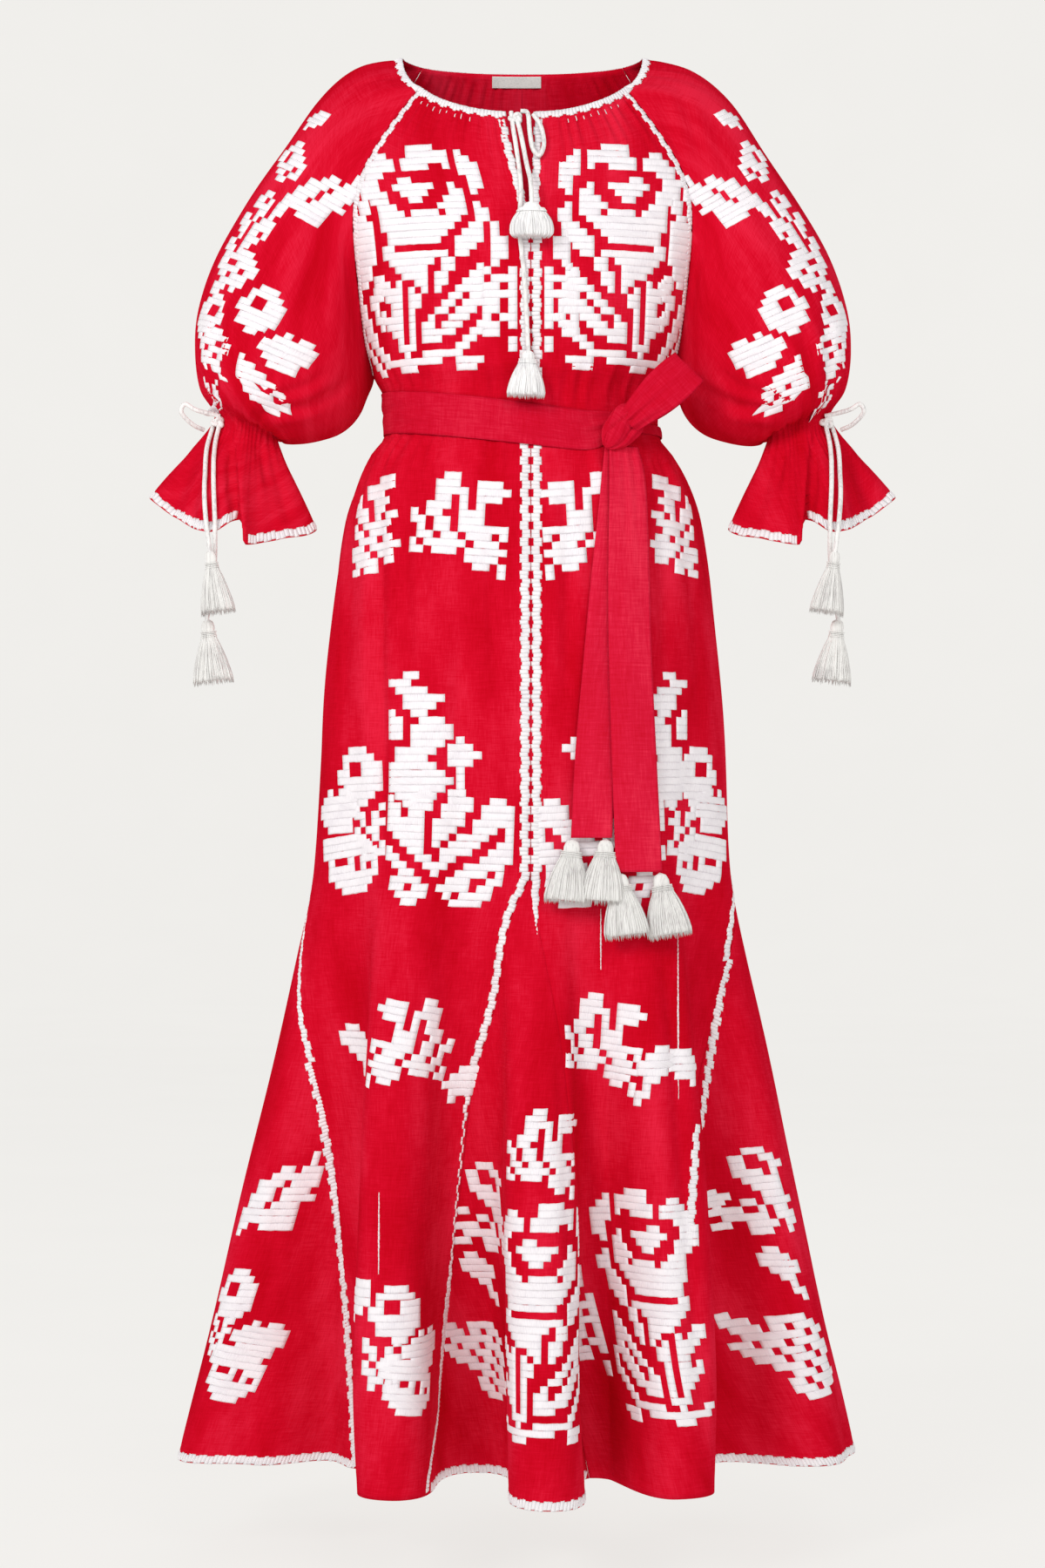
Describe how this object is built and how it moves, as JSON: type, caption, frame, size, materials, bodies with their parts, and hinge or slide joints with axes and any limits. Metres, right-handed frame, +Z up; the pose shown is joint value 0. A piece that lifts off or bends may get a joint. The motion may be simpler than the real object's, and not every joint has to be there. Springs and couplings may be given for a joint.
{
  "type": "embroidered folk dress",
  "caption": "Long red linen folk dress with balloon sleeves, frilled cuffs, godets, white block-stitched flowers, a tied sash and tasselled drawstrings.",
  "frame": {"origin": "middle of the neck opening, level with the highest points of the neckline, where the wearer's shoulders carry the dress", "axes": "+Z up, towards the wearer's head; +X to the wearer's left; +Y to the wearer's back, so the front faces -Y"},
  "size_m": [0.751, 0.5331, 1.4065],
  "materials": {
    "red_linen": "plain-weave linen, matt, slightly sheer",
    "sash_linen": "open plain-weave linen, matt",
    "white_thread": "satin-stitched cotton thread, soft sheen",
    "tassel_thread": "loose cotton thread, matt",
    "label_tape": "blank woven tape, satin"
  },
  "bodies": {
    "root": {"front_left": "red_linen", "back_left": "red_linen", "back_right": "red_linen", "front_right": "red_linen", "godet_left": "red_linen", "godet_back": "red_linen", "godet_right": "red_linen", "godet_front": "red_linen", "sleeve_left": "red_linen", "sleeve_right": "red_linen", "sash_wrap": "sash_linen", "sash_knot": "sash_linen", "sash_loop": "sash_linen", "sash_end_under": "sash_linen", "sash_end_over": "sash_linen", "neck_trim": "white_thread", "label": "label_tape", "neck_cord_short": "white_thread", "neck_cord_long": "white_thread", "neck_bow": "white_thread", "cuff_cord_short_left": "white_thread", "cuff_cord_short_right": "white_thread", "cuff_cord_long_left": "white_thread", "cuff_cord_long_right": "white_thread", "cuff_bow_left": "white_thread", "cuff_bow_right": "white_thread", "neck_tassel_short": "tassel_thread", "neck_tassel_long": "tassel_thread", "cuff_tassel_short_left": "tassel_thread", "cuff_tassel_short_right": "tassel_thread", "cuff_tassel_long_left": "tassel_thread", "cuff_tassel_long_right": "tassel_thread", "sash_tassel_under_right": "tassel_thread", "sash_tassel_under_left": "tassel_thread", "sash_tassel_over_right": "tassel_thread", "sash_tassel_over_left": "tassel_thread"}
  },
  "joints": []
}
